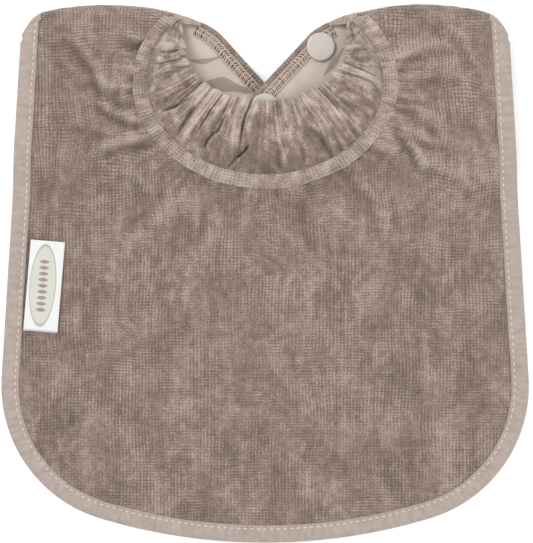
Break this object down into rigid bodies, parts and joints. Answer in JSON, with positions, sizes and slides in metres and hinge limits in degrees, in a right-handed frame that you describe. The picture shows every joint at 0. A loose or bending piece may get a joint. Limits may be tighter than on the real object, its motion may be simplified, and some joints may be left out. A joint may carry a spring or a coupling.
{
  "type": "baby bib",
  "caption": "Soft towelling bib with a gathered elastic collar and two shoulder straps that fold behind it and close with plastic press studs.",
  "frame": {"origin": "centre of the bounding box on the underside of the flat bib", "axes": "+Y towards the neck and shoulders, +Z out of the front face, +X to the viewer's right"},
  "size_m": [0.2286, 0.2326, 0.0146],
  "materials": {
    "towelling": "cotton velour towelling",
    "roll": "cotton velour towelling, worn lighter",
    "lining": "coated woven polyester, tone-on-tone print",
    "binding": "smooth knitted binding",
    "thread": "cream sewing thread",
    "hem": "smooth knitted binding",
    "overlock": "overlocked towelling edge",
    "snap": "moulded, glossy",
    "elastic": "woven elastic",
    "label": "woven satin"
  },
  "bodies": {
    "bib_body": {"front_panel": "towelling", "back_lining": "lining", "edge_binding": "binding", "binding_stitching": "thread", "neck_roll": "roll", "collar": "towelling", "collar_elastic": "elastic"},
    "left_strap": {"left_strap_towelling": "towelling", "left_strap_lining": "lining", "left_strap_binding": "binding", "left_strap_stitching": "thread", "left_strap_neck_hem": "hem", "left_strap_overlock": "overlock"},
    "left_tab": {"left_tab_towelling": "towelling", "left_tab_lining": "lining", "left_tab_binding": "binding", "left_tab_stitching": "thread", "left_tab_neck_hem": "hem", "left_tab_overlock": "overlock", "left_snap_cap": "snap", "left_snap_socket": "snap"},
    "right_strap": {"right_strap_towelling": "towelling", "right_strap_lining": "lining", "right_strap_binding": "binding", "right_strap_stitching": "thread", "right_strap_neck_hem": "hem", "right_strap_overlock": "overlock", "fastened_snap_cap": "snap", "fastened_snap_stud": "snap", "spare_snap_cap": "snap", "spare_snap_stud": "snap"},
    "side_label": {"side_label": "label"}
  },
  "joints": [
    {"name": "left_strap_fold", "type": "hinge", "parent": "bib_body", "child": "left_strap", "pos_m": [0, 0.11655, 0.0054], "axis": [1, 0, 0], "range_deg": [0, 180]},
    {"name": "right_strap_fold", "type": "hinge", "parent": "bib_body", "child": "right_strap", "pos_m": [0, 0.11655, 0.0054], "axis": [1, 0, 0], "range_deg": [0, 180]},
    {"name": "left_tab_peel", "type": "hinge", "parent": "left_strap", "child": "left_tab", "pos_m": [-0.01204, 0.08483, 0.0009], "axis": [0.7431, 0.6691, 0], "range_deg": [0, 75]},
    {"name": "side_label_flip", "type": "hinge", "parent": "bib_body", "child": "side_label", "pos_m": [-0.10132, 0.01505, 0.00335], "axis": [-0.0837, -0.9965, 0], "range_deg": [0, 150]}
  ],
  "couplings": [
    {"joint": "right_strap_fold", "follows": "left_strap_fold", "ratio": 1}
  ]
}
